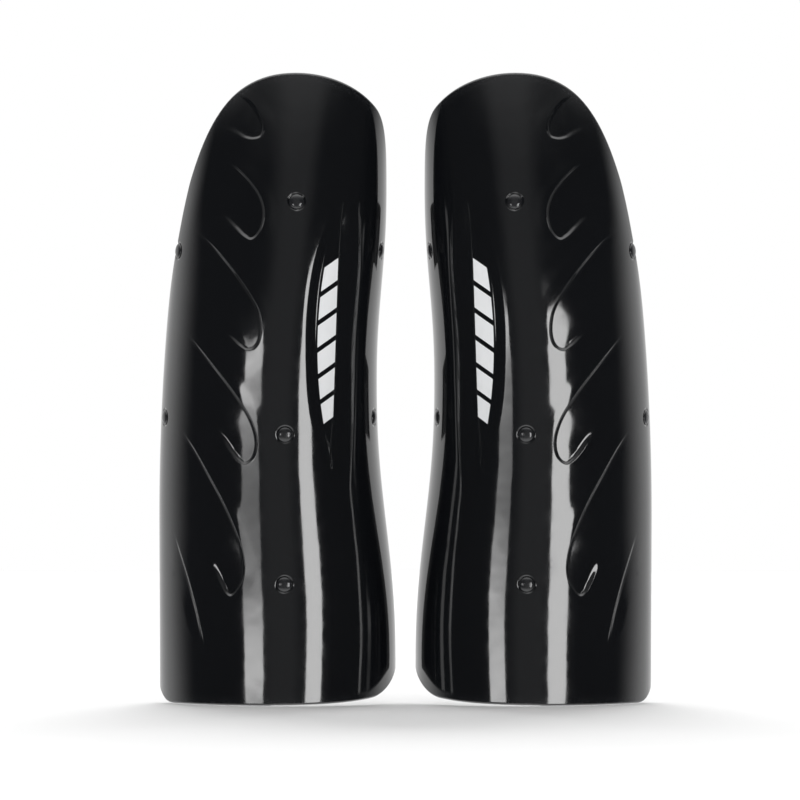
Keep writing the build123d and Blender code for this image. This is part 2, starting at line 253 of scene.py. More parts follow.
def even_run(path, step):
    """The same path with its points evenly spaced."""
    length = lengths(path)
    even = np.linspace(0, length[-1], max(2, round(length[-1] / step) + 1))
    return at_lengths(path, length, even)


def bezier(*points):
    t = np.linspace(0, 1, 33)[:, None]
    last = len(points) - 1
    return sum(math.comb(last, i) * t**i * (1 - t)**(last - i) * np.array(p, float)
               for i, p in enumerate(points))


def arc(centre, radii, start, end):
    turn = np.radians(np.linspace(start, end, 25))
    return np.array(centre) + np.stack((radii[0] * np.cos(turn), radii[1] * np.sin(turn)), 1)


def circle(count):
    """Even directions round a circle, as (cosine, sine)."""
    turn = np.linspace(0, 2 * math.pi, count, endpoint=False)
    return np.stack((np.cos(turn), np.sin(turn)), 1)


def nearest(points, path):
    """Distance of each point from an open path, and how many legs along it the place is."""
    leg = np.diff(path, axis=0)
    gap = points[:, None] - path[:-1]
    along = np.clip((gap * leg).sum(2) / np.maximum((leg * leg).sum(1), 1e-9), 0, 1)
    away = np.linalg.norm(gap - along[..., None] * leg, axis=2)
    leg_number = away.argmin(1)
    return away.min(1), leg_number + along[np.arange(len(points)), leg_number]


def clearance(points, path):
    return nearest(points, path)[0]


def within(points, outline):
    """Whether each point lies inside a closed outline."""
    ahead = np.roll(outline, -1, 0)
    rise = ahead[:, 1] - outline[:, 1]
    rise = np.where(rise == 0, 1, rise)
    x, z = points[:, :1], points[:, 1:]
    crosses = (outline[:, 1] > z) != (ahead[:, 1] > z)
    at = outline[:, 0] + (z - outline[:, 1]) * (ahead[:, 0] - outline[:, 0]) / rise
    return (crosses & (x < at)).sum(1) % 2 == 1


def inside_by(points, outline):
    """How far inside a closed outline each point lies; negative outside."""
    gap = clearance(points, np.vstack((outline, outline[:1])))
    return np.where(within(points, outline), gap, -gap)


def guard_outlines(margin=0.0, setback=0.0):
    """Front outline and the two side outlines of a layer, drawn in from the shell's."""
    wide = lateral_reach + overrun
    deep = shin_depth + ankle_kick + overrun
    top = guard_height + overrun
    slope = math.tan(lean)
    bottom = front_rise + margin
    heel = float(flank_reach(0.0)[1]) - margin - medial_corner + corner_proud
    toe = float(flank_reach(0.0)[0]) + margin + lateral_corner - corner_proud
    toe_z = lateral_corner_rise + margin
    base = guard_height - crown_medial_drop
    left = crown_x - crown_lateral_span + margin
    left_z = guard_height - crown_lateral_drop
    front = np.vstack((
        [(wide, base), (wide, bottom + medial_corner)],
        arc((heel, bottom + medial_corner), (medial_corner, medial_corner), 0, -90),
        bezier((heel, bottom), (crown_x, bottom), (bottom_bend_x, bottom - bottom_bend_dip)),
        [(bottom_bend_x, -overrun), (toe, -overrun)],
        arc((toe, toe_z + lateral_corner), (lateral_corner, lateral_corner), -90, -180),
        [(-wide, toe_z + lateral_corner), (-wide, left_z)],
        bezier((left, left_z), (left + crown_lateral_bulge, guard_height - crown_lateral_round),
               (crown_x - crown_flat + margin, guard_height - margin),
               (crown_x, guard_height - margin)),
        arc((crown_x, base), (crown_medial_span - margin, crown_medial_drop - margin), 90, 0)))
    back = -edge_setback - setback
    front_floor = bottom + slope * overrun
    back_floor = front_floor - slope * (back + deep)
    corner = (back - back_corner, back_floor + slope * back_corner + back_corner / math.cos(lean))
    sides = []
    for sweep in (lateral_sweep, medial_sweep):
        bend = [(back - forward, z) for forward, z in sweep]
        sides.append(np.vstack((
            [(bend[-1][0], top), (-deep, top), (-deep, front_floor)],
            arc(corner, (back_corner, back_corner), -90 - math.degrees(lean), 0),
            bezier(*bend))))
    return front, sides


def edge_loop(margin=0.0, setback=0.0, spacing=edge_step):
    """Closed run of spots round a layer's edge, counter-clockwise seen from outside."""
    front, sides = guard_outlines(margin, setback)
    heart = np.array([0.0, guard_height / 2])
    ray = circle(1800)
    near, far = np.zeros(len(ray)), np.full(len(ray), 260.0)
    for _ in range(24):
        reach = (near + far) / 2
        points = form_point(heart + ray * reach[:, None])
        in_front = inside_by(points[:, [0, 2]], front)
        medial = ease(points[:, 0] / side_blend + 0.5)
        in_side = inside_by(points[:, 1:], sides[0]) * (1 - medial)
        in_side = in_side + inside_by(points[:, 1:], sides[1]) * medial
        blend = np.maximum(edge_blend - np.abs(in_front - in_side), 0)**2 / (4 * edge_blend)
        kept = np.minimum(in_front, in_side) - blend > 0
        near, far = np.where(kept, reach, near), np.where(kept, far, reach)
    spots = heart + ray * ((near + far) / 2)[:, None]
    spots = np.vstack((spots, spots[:1]))
    length = lengths(form_point(spots))
    even = np.linspace(0, length[-1], round(length[-1] / spacing) + 1)[:-1]
    return at_lengths(spots, length, even)


def drawn_in(loop, distance, surface):
    """The loop moved inwards over the surface, with each point's outward direction."""
    step = 0.1
    tangent = surface(np.roll(loop, -1, 0)) - surface(np.roll(loop, 1, 0))
    tangent /= np.linalg.norm(tangent, axis=1, keepdims=True)
    outward = np.cross(tangent, facing(surface, loop))
    across = (surface(loop + [step, 0]) - surface(loop - [step, 0])) / (2 * step)
    up = (surface(loop + [0, step]) - surface(loop - [0, step])) / (2 * step)
    frames = np.stack((across, up), 2)
    move = np.linalg.pinv(frames) @ (-distance * outward[:, :, None])
    return loop + move[..., 0], outward


def claw_paths():
    """Each claw's depth, tip fade, edge in even steps, tip's index and open end."""
    for depth, tip_fade, crisp, soft in claws:
        edge = trace(crisp + soft, claw_step)
        tip = np.linalg.norm(edge - crisp[-1], axis=1).argmin()
        yield depth, tip_fade, edge, tip, np.stack((edge[-1], edge[0]))


def relief(place):
    """How deep the moulding is sunk at each (x, z) of the front view."""
    sunk = np.zeros(len(place))
    for depth, tip_fade, edge, tip, open_end in claw_paths():
        near = np.all((place > edge.min(0) - 10) & (place < edge.max(0) + 10), axis=1)
        spots = place[near]
        if not len(spots):
            continue
        inside = within(spots, edge)
        away, from_root = nearest(spots, edge[:tip + 1])
        behind, from_tip = nearest(spots, edge[tip:])
        width = claw_width + claw_opening * claw_step * from_tip
        floor = np.minimum(ease(away / claw_width), ease(behind / width))
        floor = floor * ease(clearance(spots, open_end) / claw_fade)
        floor = floor * ease(np.linalg.norm(spots - edge[tip], axis=1) / tip_fade)
        to_tip = (tip - from_root) * claw_step - shoulder_tip
        off_root = from_root * claw_step - shoulder_root
        shoulder = (1 - ease(away / shoulder_width)) * ease(to_tip / shoulder_tip_fade)
        shoulder = shoulder * ease(off_root / shoulder_root_fade)
        sunk[near] += np.where(inside, depth * floor, -shoulder_height * shoulder)
    for front, back, depth, front_run, back_run in (
            (lens_front, lens_back, lens_depth, lens_front_run, lens_back_run),
            (field_front, field_back, -field_height, field_front_run, field_back_run)):
        front, back = trace(front, 1.5), trace(back, 1.5)
        dish = ease(clearance(place, front) / front_run) * ease(clearance(place, back) / back_run)
        sunk += np.where(within(place, np.vstack((front, back))), depth * dish, 0)
    line = trace(crease, 1.5)
    fade = ease((place[:, 1] - line[-1, 1]) / crease_fade)
    fade = fade * ease((line[0, 1] + 4 - place[:, 1]) / crease_fade)
    sunk += crease_depth * (1 - ease(clearance(place, line) / crease_run)) * fade
    away = clearance(place, crown_edge)
    swell = 1 - (1 - np.minimum(away / swell_run, 1))**2
    swell = swell * (1 - ease((away - swell_run) / swell_fade))
    swell = swell * ease((place[:, 1] - swell_foot) / swell_foot_fade)
    return sunk - crown_swell * swell * ease((swell_side - place[:, 0]) / swell_side_fade)


def rivet_spots():
    """Spots of the centre rivets, then of the strap rivets."""
    centre = spot_at(*np.array(centre_rivets).T)
    strap = []
    for height in strap_heights.values():
        turn = math.acos(strap_rivet_setback / float(form_depth(height))) * girth
        strap += [(-turn, height), (turn, height)]
    return centre, np.array(strap)


seat_points = np.vstack([form_point(spots) for spots in rivet_spots()])
crown_edge = guard_outlines()[0]
crown_edge = crown_edge[(crown_edge[:, 1] > guard_height - crown_lateral_drop)
                        & (crown_edge[:, 0] < crown_x)]


def shell_skin(spot):
    """The shell's outer surface with its relief and rivet seats."""
    plain = form_point(spot)
    flat = plain.reshape(-1, 3)
    sunk = relief(flat[:, [0, 2]])
    for seat in seat_points:
        away = np.linalg.norm(flat - seat, axis=1)
        sunk += seat_depth * (1 - ease((away - seat_radius) / seat_lip))
    return plain - facing(form_point, spot) * sunk.reshape(plain.shape[:-1])[..., None]


def thinned(rows):
    """Spots of all rows in turn, without those too near to one already kept."""
    cell, kept, cells = 2.5, [], {}
    for spots, gap in rows:
        for u, v in spots.tolist():
            i, j = int(u // cell), int(v // cell)
            crowd = any((u - a)**2 + (v - b)**2 < gap * gap
                        for di in (-1, 0, 1) for dj in (-1, 0, 1)
                        for a, b in cells.get((i + di, j + dj), ()))
            if not crowd:
                cells.setdefault((i, j), []).append((u, v))
                kept.append((u, v))
    return np.array(kept)


def beside(path, offsets, gap):
    """Rows of front-view points beside a path, as spots, and their least gap."""
    along = np.gradient(path, axis=0)
    along /= np.linalg.norm(along, axis=1, keepdims=True)
    across = np.stack((-along[:, 1], along[:, 0]), 1)
    rows = np.vstack([path + across * offset for offset in offsets])
    return spot_at(rows[:, 0], rows[:, 1]), gap


def honeycomb(loop, step):
    """Evenly spread spots inside a loop, a step away from it."""
    low, high = loop.min(0), loop.max(0)
    u, v = np.meshgrid(np.arange(low[0], high[0], step), np.arange(low[1], high[1], step * 0.866))
    u = u + (np.arange(u.shape[0]) % 2)[:, None] * step / 2
    spots = np.stack((u.ravel(), v.ravel()), 1)
    return spots[within(spots, loop)]


def knit(loop, spots):
    """Triangles over a loop's inside; the loop's own points come first."""
    every = np.vstack((loop, spots))
    ring = list(range(len(loop)))
    pairs = [(i, (i + 1) % len(loop)) for i in ring]
    made = geometry.delaunay_2d_cdt(every.tolist(), pairs, [ring], 1, 1e-4)
    return np.array([list(point) for point in made[0]]), [list(face) for face in made[2]]


def ring_faces(low, high, count):
    """Quads between two closed rings whose points start at low and at high."""
    return [[low + i, low + j, high + j, high + i]
            for i, j in zip(range(count), [*range(1, count), 0])]


def rolled(points, normals, outward, thickness, count=8):
    """Rings of a half-round edge from an outer loop to an inner one."""
    half = thickness / 2
    rings, turned = [], []
    for i in range(1, count):
        turn = math.pi * i / count
        rings.append(points + outward * half * math.sin(turn)
                     - normals * half * (1 - math.cos(turn)))
        turned.append(outward * math.sin(turn) + normals * math.cos(turn))
    return np.vstack(rings), np.vstack(turned)


def shell_mesh():
    """Points, faces, normals, plan and edge wear of the right shell."""
    loop, _ = drawn_in(edge_loop(), shell_wall / 2, form_point)
    _, outward = drawn_in(loop, 0.0, form_point)
    count = len(loop)
    rows = [(loop, 0.0)]
    for _, _, edge, tip, _ in claw_paths():
        rows += [beside(edge, *claw_rows), beside(edge[tip - 2:], *claw_tip_rows)]
    rows += [beside(trace(path, 1.0), *field_rows) for path in (field_front, field_back)]
    rows += [beside(trace(crease, 1.2), *crease_rows), beside(trace(lens_front, 1.5), *lens_rows)]
    for spot in np.vstack(rivet_spots()):
        here = form_point(spot[None] + [[0, 0], [1, 0], [0, 1]])
        scale = np.linalg.norm(here[1:] - here[0], axis=1)
        rows += [(spot + circle(48) * radius / scale, seat_gap) for radius in seat_rings]
    rows.append((honeycomb(loop, skin_step), skin_step * skin_gap))
    spots = thinned(rows)[count:]
    spots = spots[inside_by(spots, loop) > rim_gap]
    outer, outer_faces = knit(loop, spots)
    inner, inner_faces = knit(loop, honeycomb(drawn_in(loop, 3.0, form_point)[0], inner_step))
    skin, skin_normals = shell_skin(outer), facing(shell_skin, outer)
    plain, plain_normals = form_point(inner), facing(form_point, inner)
    edge_normals = facing(form_point, loop)
    rings, ring_normals = rolled(skin[:count], edge_normals, outward, shell_wall)
    points = np.vstack((skin, rings, plain - plain_normals * shell_wall))
    normals = np.vstack((skin_normals, ring_normals, -plain_normals))
    faces = list(outer_faces)
    bands = [0] + [len(skin) + i * count for i in range(len(rings) // count + 1)]
    for low, high in zip(bands, bands[1:]):
        faces += ring_faces(high, low, count)
    faces += [[len(skin) + len(rings) + i for i in reversed(face)] for face in inner_faces]
    spots = np.vstack((outer, np.tile(loop, (len(rings) // count, 1)), inner))
    wear = np.concatenate((1 - ease(inside_by(outer, loop) / wear_run), np.ones(len(rings)),
                           np.zeros(len(inner))))
    flat = form_point(spots)[:, [0, 2]]
    return points, faces, normals, flat, wear


class Wire:
    """A shader socket. Sums on it add Math nodes; node() adds any other node."""

    def __init__(self, tree, socket=None):
        self.tree = tree
        self.socket = socket

    def node(self, kind, settings=None, inputs=None, output=0):
        made = self.tree.nodes.new("ShaderNode" + kind)
        for name, value in (settings or {}).items():
            setattr(made, name, value)
        for name, value in (inputs or {}).items():
            if isinstance(value, Wire):
                self.tree.links.new(value.socket, made.inputs[name])
            else:
                made.inputs[name].default_value = value
        return Wire(self.tree, made.outputs[output])

    def math(self, operation, *values):
        return self.node("Math", {"operation": operation}, dict(enumerate(values)))

    def __add__(self, other):
        return self.math("ADD", self, other)

    __radd__ = __add__

    def __mul__(self, other):
        return self.math("MULTIPLY", self, other)

    __rmul__ = __mul__

    def __sub__(self, other):
        return self.math("SUBTRACT", self, other)

    def __rsub__(self, other):
        return self.math("SUBTRACT", other, self)

    def __truediv__(self, other):
        return self.math("DIVIDE", self, other)

    def __lt__(self, other):
        return self.math("LESS_THAN", self, other)

    def __gt__(self, other):
        return self.math("GREATER_THAN", self, other)

    def size(self):
        return self.math("ABSOLUTE", self)

    def rise(self, low, high):
        """0 below low and 1 above high, with a smooth step between."""
        return self.node("MapRange", {"interpolation_type": "SMOOTHSTEP"},
                         {"Value": self, "From Min": low, "From Max": high})

    def part(self, index):
        """One of a vector's x, y and z."""
        return self.node("SeparateXYZ", inputs={0: self}, output=index)

    def mixed(self, first, second):
        """Colour between two, by this factor."""
        return self.node("Mix", {"data_type": "RGBA"}, {0: self, 6: first, 7: second}, 2)

    def noise(self, place, scale, detail):
        return self.node("TexNoise", inputs={"Vector": place, "Scale": scale, "Detail": detail})

    def bump(self):
        """Normal from this height in millimetres."""
        return self.node("Bump", inputs={"Height": self, "Distance": 0.001})


def finish_of(name, constants):
    """New material; returns it, a bare wire in it, and its shader for the varying sockets."""
    material = bpy.data.materials.new(name)
    material.use_nodes = True
    tree = material.node_tree
    shader = tree.nodes["Principled BSDF"]
    for socket, value in constants.items():
        shader.inputs[socket].default_value = value
    return material, Wire(tree), shader


def feed(shader, **sockets):
    """Links wires to a shader's sockets; underscores in the names stand for spaces."""
    for socket, wire in sockets.items():
        wire.tree.links.new(wire.socket, shader.inputs[socket.replace("_", " ")])


def shell_plastic():
    """Near-black gloss with faint flow waves, dull patches, scuffed edges and the bar print."""
    material, wire, shader = finish_of("shell_gloss_black", {
        "IOR": 1.6, "Coat Weight": 0.35, "Coat IOR": 1.5, "Coat Roughness": 0.03})
    plan = wire.node("UVMap", {"uv_map": "plan"})
    flow, peel = wire.noise(plan, 0.035, 2.0), wire.noise(plan, 0.6, 3.0)
    haze, speck = wire.noise(plan, 0.12, 5.0), wire.noise(plan, 1.4, 4.0)
    x, z = plan.part(0), plan.part(1)
    rise = z - print_middle
    printed = (x > rise * rise * print_bow + print_front) * (x < rise * print_rake + print_back)
    bar = (z - (x - bar_foot[0]) * bar_slant - bar_foot[1]) / bar_pitch
    bars = printed * (bar.math("FRACT", bar) > bar_gap) * (bar > 0) * (bar < bar_count)
    rubbed = wire.node("Attribute", {"attribute_name": "wear"}, output=2) * speck.rise(0.5, 0.7)
    plastic = rubbed.mixed((0.0034, 0.0038, 0.0046, 1), (0.03, 0.031, 0.034, 1))
    feed(shader, Base_Color=bars.mixed(plastic, (0.86, 0.87, 0.88, 1)),
         Roughness=haze.rise(0.3, 0.75) * 0.04 + 0.07 + rubbed * 0.12 + bars * 0.12,
         Normal=(flow * 0.25 + peel * 0.004).bump())
    return material


shell_points, shell_faces, shell_normals, shell_plan, shell_wear = shell_mesh()
shell_finish = shell_plastic()
for side, hand in hands:
    shell = make_piece(side + "_shell_moulding", shell_points, shell_faces, hand, shell_finish,
                       shell_normals, shell_plan, {"wear": shell_wear})
    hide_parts(side + "_shell")
    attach(shell, side + "_guard")

# --- Rivets and washers ------------------------------------------------------------------
# Tubular nylon rivets: a gloss domed cap sits in each dished seat, and the tail is rolled
# over a flat matt washer inside. Three join shell and liner; four hold the strap ends.
seat_clearance, foam_thickness, lining_bond, lining_thickness = 0.2, 6.0, 0.1, 0.8
strap_thickness = 1.8
washer_lift, washer_thickness = 0.45, 1.0
cap_profile = [(0, 1.06), (0.8, 1.04), (1.6, 0.98), (2.3, 0.86), (2.9, 0.69), (3.4, 0.48),
               (3.8, 0.24), (4.06, -0.02), (4.18, -0.35), (4.12, -0.47), (3.95, -0.5), (2.2, -0.5),
               (2.0, -0.6)]
tail_profile = [(2.0, 0.1), (2.1, -0.02), (3.1, -0.02), (3.35, -0.12), (3.4, -0.35),
                (3.25, -0.7), (2.8, -0.95), (2.2, -1.0), (1.6, -0.9), (1.25, -0.6),
                (1.1, -0.1), (0.9, 0.05), (0, 0.08)]
washer_profile = [(2.15, -0.1), (2.3, 0), (5.2, 0), (5.4, -0.08), (5.5, -0.25),
                  (5.5, -0.75), (5.4, -0.92), (5.2, -1), (2.3, -1), (2.15, -0.9)]


def turned_parts(profile, spots, closed, segments=40):
    """Lathe-turned solids standing on the form, one for each spot, with their plan."""
    points, faces, plans = [], [], []
    turn = circle(segments)
    for seat, axis in zip(form_point(spots), facing(form_point, spots)):
        side = np.cross([0, 0, 1.0], axis)
        side /= np.linalg.norm(side)
        over = np.cross(axis, side)
        start = segments * len(points)
        for radius, height in profile:
            points.append(seat + turn @ np.stack((side, over)) * radius + axis * height)
            plans.append(turn * radius)
        rings = [start + segments * k for k in range(len(profile))]
        for low, high in zip(rings, rings[1:] + (rings[:1] if closed else [])):
            faces += ring_faces(low, high, segments)
    return np.vstack(points), faces, np.vstack(plans)


def welded(piece):
    """Merges the points that coincide at the ends of turned and rolled pieces."""
    work = bmesh.new()
    work.from_mesh(piece.data)
    bmesh.ops.remove_doubles(work, verts=work.verts, dist=1e-6)
    bmesh.ops.dissolve_degenerate(work, edges=work.edges, dist=1e-7)
    bmesh.ops.recalc_face_normals(work, faces=work.faces)
    work.to_mesh(piece.data)
    work.free()
    return piece


def cap_plastic():
    """Gloss nylon with faint turned rings and a slightly dulled crown."""
    material, wire, shader = finish_of("rivet_gloss_nylon", {"IOR": 1.55, "Coat Weight": 0.2})
    plan = wire.node("UVMap", {"uv_map": "plan"})
    radius = plan.node("VectorMath", {"operation": "LENGTH"}, {0: plan}, 1)
    mottle = wire.noise(plan, 1.1, 3.0)
    crown = 1 - radius.rise(0.5, 3.0)
    feed(shader, Base_Color=mottle.mixed((0.006, 0.0065, 0.008, 1), (0.014, 0.0145, 0.016, 1)),
         Roughness=0.12 + crown * 0.08 + mottle * 0.06,
         Normal=(wire.math("SINE", radius * 9.0) * 0.006 + mottle * 0.02).bump())
    return material


def washer_plastic():
    """Matt nylon with a fine spark-eroded grain."""
    material, wire, shader = finish_of("washer_matt_nylon", {"IOR": 1.53})
    grain = wire.noise(wire.node("UVMap", {"uv_map": "plan"}), 3.0, 4.0)
    feed(shader, Base_Color=grain.mixed((0.022, 0.022, 0.024, 1), (0.04, 0.04, 0.043, 1)),
         Roughness=0.5 + grain * 0.2, Normal=(grain * 0.05).bump())
    return material


liner_stack = shell_wall + seat_clearance + foam_thickness + lining_bond + lining_thickness
strap_stack = shell_wall + seat_clearance + strap_thickness
cap_finish, washer_finish = cap_plastic(), washer_plastic()
for group, spots, stack in zip(("centre", "strap"), rivet_spots(), (liner_stack, strap_stack)):
    under = -stack - washer_lift
    rivet = cap_profile + [(r, h + under - washer_thickness) for r, h in tail_profile]
    ring = [(r, h + under) for r, h in washer_profile]
    for kind, profile, closed, finish in (("rivets", rivet, False, cap_finish),
                                          ("washers", ring, True, washer_finish)):
        points, faces, plan = turned_parts(profile, spots, closed)
        for side, hand in hands:
            node = f"{side}_{group}_{kind}"
            piece = welded(make_piece(node + "_turned", points, faces, hand, finish, plan=plan))
            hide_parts(node)
            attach(piece, side + "_guard")

# --- Liners ------------------------------------------------------------------------------
# A pad of closed-cell foam lines each shell, faced with brushed knit that is heat-pressed
# into channels, and its raw edge is bound with folded twill tape, lockstitched round.
liner_margin, liner_setback, binding_width, binding_proud = 8.0, 27.0, 4.0, 0.6
foam_skin = shell_wall + seat_clearance
foam_back = foam_skin + foam_thickness
channel_depth, channel_width = 1.5, 5.0
channel_heights = [62, 112, 162, 212, 262, 308]
channel_turns = [-38, 0, 38]
channel_rake = 0.22         # the cross channels drop towards both sides
channel_taper = 1400.0      # the upright channels would meet at this height
channel_fade = 9.0
foam_step, lining_step, binding_step, pad_edge_step = 5.0, 2.6, 1.55, 3.0
layer_play = 0.1            # keeps two layers from sharing a face
seam_inset = 3.1
stitch_length, stitch_pitch, thread_radius = 2.2, 3.1, 0.22


def channels(spot):
    """How deep the liner is pressed at each spot."""
    u, v = spot[..., 0], spot[..., 1]
    depth = np.zeros(u.shape)
    for turn in channel_turns:
        line = turn * (1 - v / channel_taper)
        depth = np.maximum(depth, 1 - ease(np.abs(u - line) / channel_width))
    for height in channel_heights:
        line = height - channel_rake * np.abs(u)
        depth = np.maximum(depth, 1 - ease(np.abs(v - line) / channel_width))
    return channel_depth * depth


def under_form(spots, depth):
    """Points this deep under the form, square to it."""
    return form_point(spots) - facing(form_point, spots) * np.asarray(depth)[..., None]


def pad_mesh(loop, outside, inside, outside_pressed, step):
    """Closed layer between two depths under the form, pressed into the channels."""
    spots, outer_faces = knit(loop, honeycomb(drawn_in(loop, 2.0, form_point)[0], step))
    count = len(loop)
    pressed = channels(spots) * ease(inside_by(spots, loop) / channel_fade)
    points = np.vstack((under_form(spots, outside - pressed * outside_pressed),
                        under_form(loop, (outside + inside) / 2),
                        under_form(spots, inside - pressed)))
    shift = len(spots) + count
    faces = outer_faces + ring_faces(len(spots), 0, count) + ring_faces(shift, len(spots), count)
    faces += [[shift + i for i in reversed(face)] for face in outer_faces]
    return points, faces, np.vstack((spots, loop, spots))


def binding_mesh(loop):
    """Tape folded round the pad's edge, as a closed ring."""
    depth = foam_thickness + lining_bond + lining_thickness + binding_proud
    section = [(4.0, 0.9), (3.9, 0.15), (3.2, 0.0), (1.4, 0.0), (0.5, 0.25), (0.08, 1.0),
               (0.0, 2.2), (0.0, depth - 2.2), (0.08, depth - 1.0), (0.5, depth - 0.25),
               (1.4, depth), (3.2, depth), (3.9, depth - 0.15), (4.0, depth - 0.8)]
    count, rings, plans, across = len(loop), [], [], 0.0
    run = lengths(form_point(loop))
    pucker = 0.10 * np.sin(run * 2 * math.pi / stitch_pitch)
    for i, (inward, under) in enumerate(section):
        spots, _ = drawn_in(loop, inward, form_point)
        if 2.6 < inward < 3.6:
            under = under + pucker * (1 if under < 2 else -1)
        rings.append(under_form(spots, foam_skin + under))
        if i:
            across += math.dist(section[i], section[i - 1])
        plans.append(np.stack((run, np.full(count, across)), 1))
    starts = [count * k for k in range(len(section))]
    faces = sum((ring_faces(a, b, count) for a, b in zip(starts, starts[1:] + starts[:1])), [])
    return np.vstack(rings), faces, np.vstack(plans)


def capped_tube(start, rings, count):
    """Faces of a tube of rings with this many points each, closed at both ends."""
    faces = [list(reversed(range(start, start + count)))]
    for low in range(start, start + (rings - 1) * count, count):
        faces += ring_faces(low, low + count, count)
    return faces + [list(range(start + (rings - 1) * count, start + rings * count))]


def stitch_row(path, normals):
    """Raised lockstitches along a closed path: one small capsule for each."""
    ends, turned = np.vstack((path, path[:1])), np.vstack((normals, normals[:1]))
    run = lengths(ends)
    profile = [(0.0, 0.15, -0.6), (0.12, 0.7, -0.1), (0.3, 1.0, 0.25), (0.7, 1.0, 0.25),
               (0.88, 0.7, -0.1), (1.0, 0.15, -0.6)]
    points, faces = [], []
    for start in np.arange(stitch_pitch / 2, run[-1] - stitch_length, stitch_pitch):
        where = [start + share * stitch_length for share, _, _ in profile]
        middle, lift = at_lengths(ends, run, where), at_lengths(turned, run, where)
        tangent = middle[-1] - middle[0]
        tangent /= np.linalg.norm(tangent)
        faces += capped_tube(6 * len(points), len(profile), 6)
        for place, out, (_, wide, high) in zip(middle, lift, profile):
            ring = circle(6) @ np.stack((np.cross(out, tangent), out)) * wide
            points.append(place + (ring + out * high) * thread_radius)
    return np.vstack(points), faces


def cloth(name, pattern, dark, light, rough, relief_height, sheen):
    """Fabric finish: pattern(plan) gives a 0 to 1 weave height for the bump, and the same height
    paints the yarn darker in the weave's low places as painted shade.
    """
    material, wire, shader = finish_of(name, {"IOR": 1.5, "Sheen Weight": sheen,
                                              "Sheen Roughness": 0.4})
    plan = wire.node("UVMap", {"uv_map": "plan"})
    weave, fuzz, blot = pattern(plan), wire.noise(plan, 2.5, 4.0), wire.noise(plan, 0.06, 3.0)
    # Colour: painted shade from the weave height, darker in its low places, plus random tone from
    # fuzz and blotches.
    weave_shade_and_tone = weave * 0.6 + fuzz * 0.35 + blot * 0.3 - 0.1
    weave_shade_and_tone = weave_shade_and_tone.node("Clamp", inputs={0: weave_shade_and_tone})
    feed(shader, Base_Color=weave_shade_and_tone.mixed((*dark, 1), (*light, 1)), Roughness=rough + fuzz * 0.1,
         Normal=(weave * relief_height + fuzz * relief_height * 0.5).bump())
    return material


def wave(value, pitch):
    """0 to 1 ripple of a coordinate with this pitch."""
    return value.math("SINE", value * (2 * math.pi / pitch)) * 0.5 + 0.5


def knit_pattern(plan):
    """Columns of V stitches."""
    x, z = plan.part(0), plan.part(1)
    lean_in = (x.math("PINGPONG", x, 0.8) - 0.4) * 1.6
    return wave(x, 1.6) * 0.5 + wave(z + lean_in, 1.3) * 0.5


def twill_pattern(plan):
    """Diagonal ribs."""
    return wave(plan.part(0) + plan.part(1), 0.9) * 0.8 + wave(plan.part(1), 3.1) * 0.2


def foam_pattern(plan):
    """Closed cells."""
    return plan.node("TexVoronoi", inputs={"Vector": plan, "Scale": 1.6})


foam_finish = cloth("foam_closed_cell", foam_pattern, (0.02, 0.02, 0.022), (0.06, 0.06, 0.064),
                    0.75, 0.12, 0.0)
lining_finish = cloth("lining_brushed_knit", knit_pattern, (0.018, 0.019, 0.021),
                      (0.075, 0.077, 0.083), 0.8, 0.28, 0.35)
binding_finish = cloth("binding_twill_tape", twill_pattern, (0.006, 0.006, 0.007),
                       (0.03, 0.03, 0.032), 0.65, 0.22, 0.2)
thread_finish = cloth("thread_bonded_nylon", twill_pattern, (0.02, 0.02, 0.022),
                      (0.07, 0.07, 0.074), 0.45, 0.1, 0.1)
binding_loop = edge_loop(liner_margin, liner_setback, binding_step)
pad_edge = edge_loop(liner_margin, liner_setback, pad_edge_step)
pad_edge, _ = drawn_in(pad_edge, binding_width, form_point)
lining_back = foam_back + lining_bond + lining_thickness
foam_mesh = pad_mesh(pad_edge, foam_skin + layer_play, foam_back - layer_play, 0, foam_step)
lining_mesh = pad_mesh(pad_edge, foam_back + layer_play / 2, lining_back, 1, lining_step)
seam_spots, _ = drawn_in(binding_loop, seam_inset, form_point)
seam_path = under_form(seam_spots, lining_back + binding_proud)
for side, hand in hands:
    for kind, (points, faces, plan), finish, fill in (
            ("foam", foam_mesh, foam_finish, 1.0), ("lining", lining_mesh, lining_finish, 0.9),
            ("binding", binding_mesh(binding_loop), binding_finish, 1.0)):
        node = f"{side}_liner_{kind}"
        piece = welded(make_piece(node + "_sewn", points, faces, hand, finish, plan=plan))
        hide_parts(node)
        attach(piece, side + "_guard")
        kind != "binding"
    points, faces = stitch_row(seam_path, -facing(form_point, seam_spots))
    seam = make_piece(side + "_liner_seam", points, faces, hand, thread_finish,
                      plan=points[:, [0, 2]])
    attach(seam, side + "_guard")

# --- Straps and tabs ---------------------------------------------------------------------
# Two calf straps for each guard: ribbed elastic, riveted at the lateral edge, closes on a
# riveted webbing tab at the medial edge with sewn hook and loop patches. Ends are folded
# under and box-stitched.
strap_width, strap_reach, strap_root_length = 38.0, 34.0, 23.0
hook_thickness, loop_thickness, patch_gap, patch_inset, hinge_gap = 1.2, 1.0, 0.3, 2.0, 0.3
stitch_inset = 1.2
blend_start, blend_end = -2.4, 3.2      # from guard to band, along the strap at its hinge
strap_end_angle, hook_angles, loop_angles, tab_end_angle = 62.0, (22.0, 55.0), (19.0, 58.0), 16.0
edge_waist = 6.0            # webbing is narrower up to the shell's edge
strap_waist_run, tab_waist_run = 44.0, 24.0
lateral_skew_fade, medial_skew_fade = 24.0, 8.0     # behind the shell, until a band is upright
band_inset = foam_skin + strap_thickness / 2
tab_step = strap_thickness + hook_thickness + patch_gap + loop_thickness
hinge_y = hinge_gap + strap_thickness / 2


def band_ellipse(height, level):
    """Centre x and the two reaches of a band behind the guard."""
    edge = [float(form_point(np.array([side * math.pi / 2 * girth, height]), band_inset)[0])
            for side in (-1, 1)]
    half = (edge[1] + tab_step - edge[0]) / 2
    return edge[0] + half, half - level, strap_reach - level


